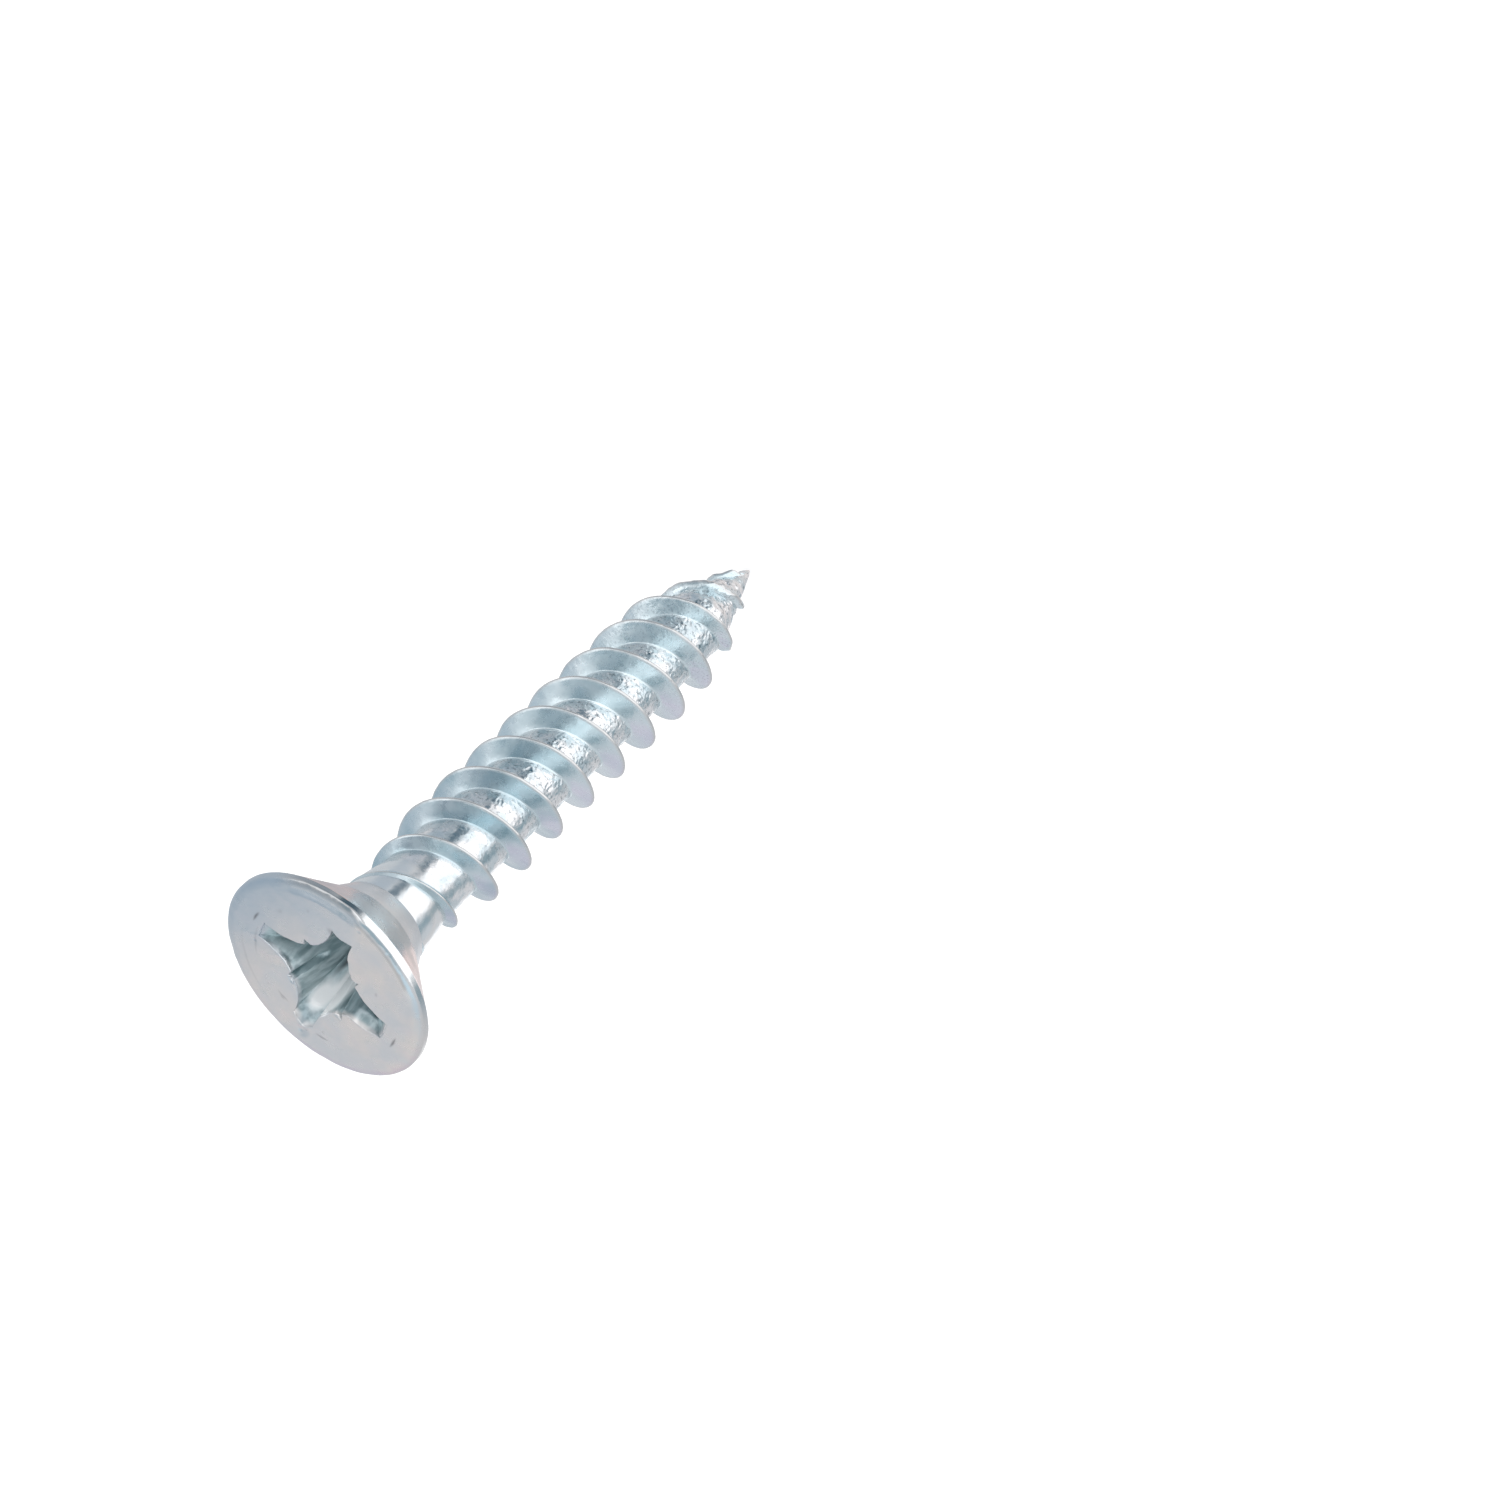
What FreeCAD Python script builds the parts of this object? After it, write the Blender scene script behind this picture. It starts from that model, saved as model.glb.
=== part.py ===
import FreeCAD, Part
import Sketcher
import os

# A 4.2 x 25.4 mm (number 8 by 1 inch) countersunk wood screw with a type Z cross recess, size 2.
# The screw stands head up: the origin is the centre of the flat head face, +Z points out of
# the head along the axis and the tip is at -Z. Depths are measured down from the head face.

# Driving dimensions in millimetres (angles in degrees). Each becomes a cell of the sheet.
DIMENSIONS = {
    # whole screw
    "Overall": 25.4,
    # head: flat face, rounded edge, short cylindrical rim, 90 degree countersink, steep cone
    "HeadRadius": 4.0,
    "EdgeRound": 0.12,
    "RimDepth": 0.36,
    "SeatDepth": 2.28,
    "SeatRadius": 2.12,
    "HeadDepth": 3.16,
    "HeadNeckRadius": 1.66,
    # neck, which runs smoothly down into the rolled shank
    "NeckDepth": 3.96,
    "NeckRadius": 1.58,
    "StepDepth": 4.9,
    # shank core and point
    "CoreTopRadius": 1.41,
    "CoreEndRadius": 1.26,
    "CoreDepth": 21.9,
    "TipDepth": 24.6,
    "TipRadius": 0.38,
    "TipRound": 0.1,
    # cross recess: half spans and half widths of the wings, and how near the walls come
    # to the axis between two wings, at the mouth, at the ledge and at the floor
    "MouthSpan": 2.65,
    "MouthWing": 0.41,
    "MouthWaist": 1.38,
    "LedgeDrop": 0.5,
    "LedgeSpan": 2.1,
    "LedgeWing": 0.38,
    "LedgeWaist": 1.2,
    "FloorDrop": 2.3,
    "FloorSpan": 1.15,
    "FloorWing": 0.26,
    "FloorWaist": 0.66,
    "NotchReach": 1.62,
    "NotchWidth": 0.24,
    "NotchDrop": 1.5,
    "RecessTurn": 5.0,
    # twin-start thread: the ridge's section and helix, then the surface that its crests follow
    # as they rise out of the neck, run along the shank and close in on the point
    "Lead": 3.74,
    "Turns": 5.6,
    "MajorRadius": 2.1,
    "CrestHalf": 0.06,
    "RootHalf": 0.36,
    "InnerRadius": 0.2,
    "InnerHalf": 0.2,
    "CrestSpare": 0.15,
    "StartDepth": 3.2,
    "StartRadius": 1.69,
    "RiseDepth": 4.9,
    "RiseRadius": 1.76,
    "FullDepth": 6.8,
    "TaperDepth": 18.9,
    "TaperRound": 12.3,
    "ThreadEnd": 24.8,
    "ThreadEndRadius": 0.36,
    "ClearRadius": 3.0,
}


class Size:
    """A length with the sheet expression that gives it, so both stay the same."""

    def __init__(self, value, text):
        self.value = value
        self.text = text

    def __add__(self, other):
        return Size(self.value + other.value, f"({self.text} + {other.text})")

    def __sub__(self, other):
        return Size(self.value - other.value, f"({self.text} - {other.text})")

    def __neg__(self):
        return Size(-self.value, f"(-{self.text})")

    def times(self, factor):
        return Size(self.value * factor, f"({self.text} * {factor})")


ZERO = Size(0.0, "0")
DIAGONAL = 0.5**0.5
# the ridge's helix starts this many leads below the head face, just above the tip
LEADS_TO_THREAD_END = 6.5


def fill_sheet(document):
    """Write the driving dimensions into a spreadsheet, one aliased cell each."""
    sheet = document.addObject("Spreadsheet::Sheet", "Dimensions")
    for row, (name, value) in enumerate(DIMENSIONS.items(), start=1):
        sheet.set(f"A{row}", name)
        sheet.set(f"B{row}", str(value))
        sheet.setAlias(f"B{row}", name)
    document.recompute()
    return sheet


def dim(name):
    """The named driving dimension as a Size."""
    return Size(DIMENSIONS[name], f"Dimensions.{name}")


def add_body(document, name):
    """A PartDesign body whose label is the piece's name."""
    body = document.addObject("PartDesign::Body", name)
    body.Label = name
    return body


def origin_feature(body, role):
    """One of the body's own origin planes or axes."""
    return next(f for f in body.Origin.OriginFeatures if f.Role == role)


def add_sketch(body, name, plane_role):
    """A sketch of the body on one of its origin planes."""
    sketch = body.newObject("Sketcher::SketchObject", name)
    sketch.AttachmentSupport = (origin_feature(body, plane_role), [""])
    sketch.MapMode = "FlatFace"
    return sketch


def place_point(sketch, geometry, end, x, y):
    """Tie one end of an edge to the sheet by its two distances from the sketch origin."""
    for kind, size in (("DistanceX", x), ("DistanceY", y)):
        if size.value < 0:
            ends = (geometry, end, -1, 1, -size.value)
            text = (-size).text
        else:
            ends = (-1, 1, geometry, end, size.value)
            text = size.text
        number = sketch.addConstraint(Sketcher.Constraint(kind, *ends))
        sketch.setExpression(f"Constraints[{number}]", text)


def arc_through(start, end, radius, bulge):
    """The arc from start to end whose middle lies to the given side (+1 left, -1 right)."""
    chord = end - start
    height = (radius**2 - (chord.Length / 2) ** 2) ** 0.5
    left = FreeCAD.Vector(-chord.y, chord.x, 0).normalize()
    centre = start + chord * 0.5 - left * (height * bulge)
    middle = centre + left * (radius * bulge)
    return Part.Arc(start, middle, end)


def draw_outline(sketch, points, arcs=None):
    """A closed outline through the points, of straight edges except where arcs gives
    {edge number: (radius, side)}."""
    arcs = arcs or {}
    count = len(points)
    corners = [FreeCAD.Vector(x.value, y.value, 0) for x, y in points]
    starts = []
    ends = []
    for edge in range(count):
        start = corners[edge]
        end = corners[(edge + 1) % count]
        if edge in arcs:
            radius, bulge = arcs[edge]
            curve = arc_through(start, end, radius.value, bulge)
            sketch.addGeometry(curve, False)
            # a sketch keeps an arc counter-clockwise, so a clockwise one has its ends swapped
            starts.append(2 if bulge > 0 else 1)
            ends.append(1 if bulge > 0 else 2)
        else:
            sketch.addGeometry(Part.LineSegment(start, end), False)
            starts.append(1)
            ends.append(2)
    for edge in range(count):
        following = (edge + 1) % count
        joint = (edge, ends[edge], following, starts[following])
        sketch.addConstraint(Sketcher.Constraint("Coincident", *joint))
    for edge, (x, y) in enumerate(points):
        place_point(sketch, edge, starts[edge], x, y)
    for edge, (radius, _) in arcs.items():
        number = sketch.addConstraint(Sketcher.Constraint("Radius", edge, radius.value))
        sketch.setExpression(f"Constraints[{number}]", radius.text)


def revolve(body, name, points, arcs=None, kind="PartDesign::Revolution"):
    """Turn an outline in the XZ plane once around the body's Z axis."""
    sketch = add_sketch(body, f"{name}_outline", "XZ_Plane")
    draw_outline(sketch, points, arcs)
    body.Document.recompute()
    turned = body.newObject(kind, name)
    turned.Profile = sketch
    turned.ReferenceAxis = (sketch, ["V_Axis"])
    turned.Angle = 360.0
    body.Document.recompute()
    sketch.Visibility = False
    return turned


def cross_outline(sketch, span, wing, waist):
    """The mouth shape of a cross recess with its wings on the sketch's diagonals: four short
    wing ends, joined by arcs that come within the waist distance of the axis."""
    near = (span - wing).times(DIAGONAL)
    far = (span + wing).times(DIAGONAL)
    rise = far - waist
    radius = Size(
        (near.value**2 + rise.value**2) / (2 * rise.value),
        f"(({near.text})^2 + ({rise.text})^2) / (2 * ({rise.text}))",
    )
    points = [
        (far, near),
        (near, far),
        (-near, far),
        (-far, near),
        (-far, -near),
        (-near, -far),
        (near, -far),
        (far, -near),
    ]
    draw_outline(sketch, points, {edge: (radius, 1) for edge in (1, 3, 5, 7)})


def lower_sketch(sketch, drop):
    """Move a sketch down its plane's normal by a size."""
    sketch.AttachmentOffset = FreeCAD.Placement(
        FreeCAD.Vector(0, 0, -drop.value), FreeCAD.Rotation()
    )
    sketch.setExpression("AttachmentOffset.Base.z", (-drop).text)


def build_head(document):
    """Flat face, rim, countersink and the steeper cone under it, with the cross recess."""
    body = add_body(document, "head")
    outline = [
        (ZERO, ZERO),
        (ZERO, -dim("HeadDepth")),
        (dim("HeadNeckRadius"), -dim("HeadDepth")),
        (dim("SeatRadius"), -dim("SeatDepth")),
        (dim("HeadRadius"), -dim("RimDepth")),
        (dim("HeadRadius"), -dim("EdgeRound")),
        (dim("HeadRadius") - dim("EdgeRound"), ZERO),
    ]
    revolve(body, "blank", outline, {5: (dim("EdgeRound"), -1)})
    sketches = []
    for level, drop in (("Mouth", ZERO), ("Ledge", dim("LedgeDrop")), ("Floor", dim("FloorDrop"))):
        sketch = add_sketch(body, f"{level.lower()}_outline", "XY_Plane")
        lower_sketch(sketch, drop)
        cross_outline(sketch, dim(f"{level}Span"), dim(f"{level}Wing"), dim(f"{level}Waist"))
        sketches.append(sketch)
    document.recompute()
    recess = body.newObject("PartDesign::SubtractiveLoft", "recess")
    recess.Profile = sketches[0]
    recess.Sections = sketches[1:]
    recess.Ruled = True
    document.recompute()
    cut_notches(body)
    body.Placement = FreeCAD.Placement(
        FreeCAD.Vector(), FreeCAD.Rotation(FreeCAD.Vector(0, 0, 1), DIMENSIONS["RecessTurn"])
    )
    body.setExpression("Placement.Rotation.Angle", "Dimensions.RecessTurn")
    document.recompute()
    return body


def cut_notches(body):
    """The four narrow notches between the wings, which mark a type Z recess."""
    sketch = add_sketch(body, "notch_outline", "XY_Plane")
    half = dim("NotchWidth").times(0.5)
    reach = dim("NotchReach")
    draw_outline(sketch, [(-reach, -half), (reach, -half), (reach, half), (-reach, half)])
    body.Document.recompute()
    notch = body.newObject("PartDesign::Pocket", "notch")
    notch.Profile = sketch
    notch.setExpression("Length", "Dimensions.NotchDrop")
    body.Document.recompute()
    pattern = body.newObject("PartDesign::PolarPattern", "notches")
    pattern.Originals = [notch]
    pattern.Axis = (sketch, ["N_Axis"])
    pattern.Angle = 90.0
    pattern.Occurrences = 2
    body.Tip = pattern
    body.Document.recompute()


def build_neck(document):
    """The neck under the head, which narrows to the top of the shank core."""
    body = add_body(document, "neck")
    outline = [
        (ZERO, -dim("HeadDepth")),
        (ZERO, -dim("StepDepth")),
        (dim("CoreTopRadius"), -dim("StepDepth")),
        (dim("NeckRadius"), -dim("NeckDepth")),
        (dim("HeadNeckRadius"), -dim("HeadDepth")),
    ]
    revolve(body, "neck_turning", outline)
    return body


def build_core(document):
    """The slightly tapered core of the threaded shank."""
    body = add_body(document, "shank_core")
    outline = [
        (ZERO, -dim("StepDepth")),
        (ZERO, -dim("CoreDepth")),
        (dim("CoreEndRadius"), -dim("CoreDepth")),
        (dim("CoreTopRadius"), -dim("StepDepth")),
    ]
    revolve(body, "core_turning", outline)
    return body


def build_point(document):
    """The conical point, blunter towards its small rounded tip."""
    body = add_body(document, "point")
    outline = [
        (ZERO, -dim("CoreDepth")),
        (ZERO, -dim("Overall")),
        (dim("TipRound"), -dim("Overall") + dim("TipRound")),
        (dim("TipRadius"), -dim("TipDepth")),
        (dim("CoreEndRadius"), -dim("CoreDepth")),
    ]
    revolve(body, "point_turning", outline, {1: (dim("TipRound"), -1)})
    return body


def build_thread(document, name, turn):
    """One of the two thread ribs: a ridge swept along a right-handed helix, turned down to the
    crest envelope and bored out to sit on the core and the point."""
    body = add_body(document, name)
    add_ridge(body)
    far = dim("ClearRadius")
    envelope = [
        (dim("CoreEndRadius"), ZERO),
        (dim("StartRadius"), -dim("StartDepth")),
        (dim("RiseRadius"), -dim("RiseDepth")),
        (dim("MajorRadius"), -dim("FullDepth")),
        (dim("MajorRadius"), -dim("TaperDepth")),
        (dim("ThreadEndRadius"), -dim("ThreadEnd")),
        (dim("InnerRadius"), -dim("ThreadEnd")),
        (dim("InnerRadius"), -dim("Overall")),
        (far, -dim("Overall")),
        (far, ZERO),
    ]
    revolve(body, "crest_turning", envelope, {4: (dim("TaperRound"), 1)}, "PartDesign::Groove")
    bore = [
        (ZERO, ZERO),
        (ZERO, -dim("Overall")),
        (dim("TipRadius"), -dim("TipDepth")),
        (dim("CoreEndRadius"), -dim("CoreDepth")),
        (dim("CoreTopRadius"), -dim("StepDepth")),
        (dim("NeckRadius"), -dim("NeckDepth")),
        (dim("HeadNeckRadius"), -dim("HeadDepth")),
        (dim("SeatRadius"), -dim("SeatDepth")),
        (dim("SeatRadius"), ZERO),
    ]
    revolve(body, "core_bore", bore, kind="PartDesign::Groove")
    body.Placement = FreeCAD.Placement(
        FreeCAD.Vector(), FreeCAD.Rotation(FreeCAD.Vector(0, 0, 1), turn)
    )
    document.recompute()
    return body


def add_ridge(body):
    """The raw ridge: its axial section swept up a helix from the point towards the head."""
    section = add_sketch(body, "ridge_section", "XZ_Plane")
    middle = dim("Lead").times(LEADS_TO_THREAD_END)
    inner = dim("InnerRadius")
    root = dim("CoreEndRadius")
    crest = dim("MajorRadius") + dim("CrestSpare")
    outline = [
        (inner, -middle - dim("InnerHalf")),
        (root, -middle - dim("RootHalf")),
        (crest, -middle - dim("CrestHalf")),
        (crest, -middle + dim("CrestHalf")),
        (root, -middle + dim("RootHalf")),
        (inner, -middle + dim("InnerHalf")),
    ]
    draw_outline(section, outline)
    body.Document.recompute()
    ridge = body.newObject("PartDesign::AdditiveHelix", "ridge")
    ridge.Profile = section
    ridge.ReferenceAxis = (origin_feature(body, "Z_Axis"), [""])
    ridge.Mode = "pitch-turns-angle"
    ridge.setExpression("Pitch", "Dimensions.Lead")
    ridge.setExpression("Turns", "Dimensions.Turns")
    body.Document.recompute()


def check(document):
    """Stop if any feature failed or any solid isn't sound."""
    for item in document.Objects:
        if "Invalid" in item.State or "Error" in item.State:
            raise RuntimeError(f"{item.Label} did not compute")
        shape = getattr(item, "Shape", None)
        if item.isDerivedFrom("PartDesign::Feature") and (shape.isNull() or not shape.isValid()):
            raise RuntimeError(f"{item.Label} has no sound shape")


def main():
    """Build the screw's pieces and write one STEP file for each."""
    document = FreeCAD.newDocument("wood_screw")
    fill_sheet(document)
    pieces = [
        build_head(document),
        build_neck(document),
        build_core(document),
        build_point(document),
        build_thread(document, "thread_rib_a", 0.0),
        build_thread(document, "thread_rib_b", 180.0),
    ]
    document.recompute()
    check(document)
    os.makedirs("parts", exist_ok=True)
    for piece in pieces:
        piece.Shape.exportStep(f"parts/{piece.Label}.step")
        print(piece.Label, round(piece.Shape.Volume, 3), len(piece.Shape.Solids))


main()
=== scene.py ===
"""A zinc-plated countersunk wood screw with a cross recess, standing head up on a pale floor.

The frame is the CAD model's: the origin is the centre of the flat head face, +Z points out of
the head and the tip is at -Z. Shapes are worked out in millimetres and written in metres.
"""

import bpy
import math
import numpy as np
from mathutils import Matrix, Vector


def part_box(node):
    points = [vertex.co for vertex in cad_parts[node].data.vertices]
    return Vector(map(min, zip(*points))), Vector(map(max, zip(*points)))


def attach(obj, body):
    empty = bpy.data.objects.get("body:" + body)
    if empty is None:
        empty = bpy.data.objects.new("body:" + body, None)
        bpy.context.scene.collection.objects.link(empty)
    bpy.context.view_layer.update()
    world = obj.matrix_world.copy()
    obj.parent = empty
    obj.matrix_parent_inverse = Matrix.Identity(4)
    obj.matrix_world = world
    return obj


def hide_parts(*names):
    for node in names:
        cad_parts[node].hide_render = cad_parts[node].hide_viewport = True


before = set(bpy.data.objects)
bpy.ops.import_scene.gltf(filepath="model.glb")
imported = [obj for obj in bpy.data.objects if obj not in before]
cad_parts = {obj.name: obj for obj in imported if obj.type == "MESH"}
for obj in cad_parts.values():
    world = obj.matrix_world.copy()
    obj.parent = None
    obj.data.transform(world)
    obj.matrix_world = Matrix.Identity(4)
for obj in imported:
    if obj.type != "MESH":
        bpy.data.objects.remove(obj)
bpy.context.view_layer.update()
MM = 0.001
TAU = 2 * math.pi
CRISP_EDGE = math.radians(38.0)

# ---------------------------------------------------------------- driving sizes (mm)
head_low, head_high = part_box("head")
point_low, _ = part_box("point")
_, rib_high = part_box("thread_rib_a")
core_low, core_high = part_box("shank_core")
neck_low, neck_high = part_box("neck")

HEAD_RADIUS = head_high[0] / MM
HEAD_DEPTH = -head_low[2] / MM
NECK_END = -neck_low[2] / MM
CORE_DEPTH = -core_low[2] / MM
OVERALL = -point_low[2] / MM
MAJOR_RADIUS = rib_high[0] / MM
NECK_TOP_RADIUS = neck_high[0] / MM
CORE_TOP_RADIUS = core_high[0] / MM
CORE_END_RADIUS = 1.26

SHOULDER_REACH = 0.42
SHOULDER_DROP = 0.17
RIM_DEPTH = 0.36
SEAT_DEPTH = 2.28
SEAT_RADIUS = 2.12
NECK_RADIUS = 1.58
NECK_DEPTH = 3.96
LEAD = 3.74
RECESS_TURN = math.radians(50.0)

# recess levels: depth, half span, half wing width, nearest distance of the walls to the axis
MOUTH = (0.0, 2.6, 0.42, 1.38)
LEDGE = (0.5, 2.1, 0.38, 1.2)
FLOOR = (2.3, 1.15, 0.26, 0.66)
NOTCH_DEPTH = 0.24
NOTCH_HALF = 0.15
NOTCH_DROP = 1.5
# the recess floor: the size of each ring on it, and how far its middle dips
FLOOR_SHARES = (0.05, 0.35, 0.7)
FLOOR_DIP = 0.04
MOUTH_EDGE = 0.05

# Marks on the head, in millimetres from the centre of its face. All but the arcs are ovals:
# (x, y, half length, half width, turn in degrees, amount).
PRESSES = [
    (2.5, -1.9, 0.45, 0.3, -40, 0.07),
    (1.47, 0.1, 0.2, 0.13, 95, 0.12),
    (0.3, -1.5, 0.2, 0.12, 10, 0.12),
    (-2.44, 2.58, 0.1, 0.08, 130, 0.03),
    (2.55, -2.05, 0.09, 0.06, 20, 0.03),
    (-1.12, -2.52, 0.1, 0.06, 60, 0.03),
]
# where the mouth of the recess is bevelled: an oval and the heading its edge is pushed along
SPREADS = [
    (1.6, 1.2, 0.9, 0.5, 50, 0.26, -42),
    (-0.9, -2.0, 0.5, 0.35, 50, 0.12, -45),
    (1.95, -1.6, 0.7, 0.55, -40, 0.4, -40),
    (-1.95, 1.6, 0.5, 0.5, 0, 0.14, -40),
]
# (radius, from, to, strength), angles in degrees round the head
ARC_MARKS = [
    (3.08, 40, 53, 0.7),
    (2.98, 216, 229, 0.7),
    (2.86, 331, 343, 0.45),
    (2.5, 290, 304, 0.35),
    (2.75, 228, 262, 0.2),
    (3.3, 236, 300, 0.12),
]
# Smudges on the face; the last four ovals sit in the recess and are painted shade.
SMUDGES_AND_SHADE = [
    (0.14, 2.29, 0.16, 0.09, 140, 0.22),
    (1.2, -2.3, 0.17, 0.06, 20, 0.3),
    (2.39, -0.96, 0.13, 0.07, 150, 0.18),
    (0.72, -2.72, 0.12, 0.07, 120, 0.12),
    (-2.63, -0.76, 0.22, 0.12, 120, 0.14),
    (-2.87, 0.57, 0.14, 0.08, 140, 0.14),
    (0.88, -0.88, 0.5, 0.16, -50, 1.0),
    (-1.55, 0.95, 0.3, 0.12, 140, 0.6),
    (-1.24, -1.75, 0.22, 0.08, 120, 0.8),
    (-2.2, 1.3, 0.25, 0.2, 50, 0.3),
]
# Painted highlights: pale matt patches in the recess that stand in for bright reflections, as
# ovals with an amount.
PAINTED_HIGHLIGHTS = [
    (0.8, 0.05, 1.9, 0.46, -50, 1.5),
    (1.25, -0.55, 0.9, 0.4, -50, 1.3),
    (1.5, -1.3, 0.5, 0.45, 0, 1.5),
    (2.3, -1.8, 0.6, 0.45, -40, 0.3),
    (1.85, 1.25, 0.4, 0.16, 50, 0.5),
]


# ---------------------------------------------------------------- smooth random fields
class Field:
    """A smooth random function of a point: a sum of plane waves about one wavelength long."""

    def __init__(self, wavelength, seed, waves=28):
        draw = np.random.default_rng(seed)
        heading = draw.normal(size=(waves, 3))
        heading /= np.linalg.norm(heading, axis=1, keepdims=True)
        length = wavelength * draw.uniform(0.7, 1.5, size=(waves, 1))
        self.wave = heading * TAU / length
        self.phase = draw.uniform(0, TAU, size=waves)
        self.gain = math.sqrt(2.0 / waves)

    def __call__(self, points):
        return self.gain * np.cos(points @ self.wave.T + self.phase).sum(axis=-1)


def smooth_step(low, high, value):
    """0 below low, 1 above high, eased between."""
    t = np.clip((value - low) / (high - low), 0.0, 1.0)
    return t * t * (3 - 2 * t)


# ---------------------------------------------------------------- mesh helpers
def make_piece(name, points, faces, marks=None):
    """A mesh object from points in millimetres, with optional per-vertex float layers."""
    mesh = bpy.data.meshes.new(name)
    mesh.from_pydata((np.asarray(points) * MM).tolist(), [], faces)
    for layer, values in (marks or {}).items():
        attribute = mesh.attributes.new(layer, "FLOAT", "POINT")
        attribute.data.foreach_set("value", np.asarray(values, dtype=np.float32).ravel())
    mesh.update()
    mesh.shade_smooth()
    mesh.set_sharp_from_angle(angle=CRISP_EDGE)
    piece = bpy.data.objects.new(name, mesh)
    bpy.context.scene.collection.objects.link(piece)
    return piece


def ring_faces(rows, columns, flip=False):
    """Quads between successive closed rings, with a fan to a pole at each end."""
    faces = []
    for row in range(rows - 1):
        for column in range(columns):
            after = (column + 1) % columns
            quad = (
                row * columns + column,
                row * columns + after,
                (row + 1) * columns + after,
                (row + 1) * columns + column,
            )
            faces.append(quad[::-1] if flip else quad)
    first_pole = rows * columns
    last_pole = first_pole + 1
    for column in range(columns):
        after = (column + 1) % columns
        start = (first_pole, after, column)
        end = (last_pole, (rows - 1) * columns + column, (rows - 1) * columns + after)
        faces.append(start[::-1] if flip else start)
        faces.append(end[::-1] if flip else end)
    return faces


def closed_rings(name, rings, marks=None, flip=False):
    """A closed mesh through a stack of rings (rows x columns x 3), capped at both ends."""
    rows, columns, _ = rings.shape
    poles = np.stack([rings[0].mean(axis=0), rings[-1].mean(axis=0)])
    points = np.vstack([rings.reshape(-1, 3), poles])
    layers = {}
    for layer, values in (marks or {}).items():
        ends = [values[0].mean(), values[-1].mean()]
        layers[layer] = np.concatenate([values.ravel(), ends])
    return make_piece(name, points, ring_faces(rows, columns, flip), layers)


def push_out(rings, amount):
    """Move ring points away from the axis by an amount each."""
    reach = np.hypot(rings[..., 0], rings[..., 1])
    scale = 1 + amount / np.maximum(reach, 1e-6)
    rings[..., 0] *= scale
    rings[..., 1] *= scale


# ---------------------------------------------------------------- head
def wing_quadrant(span, wing, waist, samples):
    """Points from the middle of one wing's end round to the middle of the next wing's end."""
    corner = np.array([span, wing])
    near = (span - wing) * math.sqrt(0.5)
    far = (span + wing) * math.sqrt(0.5)
    rise = far - waist
    radius = (near**2 + rise**2) / (2 * rise)
    centre = np.full(2, (waist + radius) * math.sqrt(0.5))
    start = math.atan2(corner[1] - centre[1], corner[0] - centre[0])
    stop = -math.pi / 2 - start - math.pi
    if stop > start:
        stop -= TAU
    end_count = samples // 8
    side = np.linspace(0, 1, end_count, endpoint=False)[:, None]
    first = np.array([[span, 0.0]]) * (1 - side) + corner * side
    turn = np.linspace(start, stop, samples - 2 * end_count + 1)
    arc = centre + radius * np.stack([np.cos(turn), np.sin(turn)], axis=1)
    last = first[:0:-1, ::-1]
    return np.vstack([first, arc, last])


def cross_ring(level, samples, turn):
    """One closed cross-shaped ring of 4 x samples points at a recess level, with a V notch in
    the middle of each of its four rounded sides."""
    depth, span, wing, waist = level
    quadrant = wing_quadrant(span, wing, waist, samples)[:samples]
    sideways = (quadrant[:, 1] - quadrant[:, 0]) * math.sqrt(0.5)
    fade = 1 - smooth_step(NOTCH_DROP - 0.4, NOTCH_DROP, depth)
    notch = NOTCH_DEPTH * fade * np.clip(1 - np.abs(sideways) / NOTCH_HALF, 0, 1)
    quadrant = quadrant + (notch * math.sqrt(0.5))[:, None]
    rings = []
    for quarter in range(4):
        angle = turn + quarter * math.pi / 2
        spin = np.array([[math.cos(angle), math.sin(angle)], [-math.sin(angle), math.cos(angle)]])
        rings.append(quadrant @ spin)
    flat = np.vstack(rings)
    return np.column_stack([flat, np.full(len(flat), -depth)])


def blend_levels(low, high, share):
    """A recess level part of the way from low to high."""
    return tuple(a + (b - a) * share for a, b in zip(low, high))


def circle_ring(radius, depth, angles):
    """A ring at a radius and depth with its points at the given angles."""
    return np.column_stack(
        [radius * np.cos(angles), radius * np.sin(angles), np.full(len(angles), -depth)]
    )


RECESS_SAMPLES = 120
FLOOR_RINGS = len(FLOOR_SHARES)
WALL_RINGS = 26
LEDGE_RINGS = 12
LIP_RINGS = 5
FACE_RINGS = 60
SHOULDER_RINGS = 20
RIM_RINGS = 6
SEAT_RINGS = 40
STEEP_RINGS = 20
RECESS_END_ROW = FLOOR_RINGS + WALL_RINGS + LEDGE_RINGS + LIP_RINGS - 1
FACE_END_ROW = RECESS_END_ROW + FACE_RINGS - 1
RIM_END_ROW = FACE_END_ROW + SHOULDER_RINGS + RIM_RINGS - 2


def recess_rings():
    """Rings from the recess floor up its walls to the mouth."""
    rings = []
    for share in FLOOR_SHARES:
        ring = cross_ring(FLOOR, RECESS_SAMPLES, RECESS_TURN)
        ring[:, :2] *= share
        ring[:, 2] = -(FLOOR[0] + FLOOR_DIP * (1 - share))
        rings.append(ring)
    for share in np.linspace(0, 1, WALL_RINGS):
        rings.append(cross_ring(blend_levels(FLOOR, LEDGE, share), RECESS_SAMPLES, RECESS_TURN))
    for share in np.linspace(0, 1, LEDGE_RINGS + 1)[1:]:
        rings.append(cross_ring(blend_levels(LEDGE, MOUTH, share), RECESS_SAMPLES, RECESS_TURN))
    return rings


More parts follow.
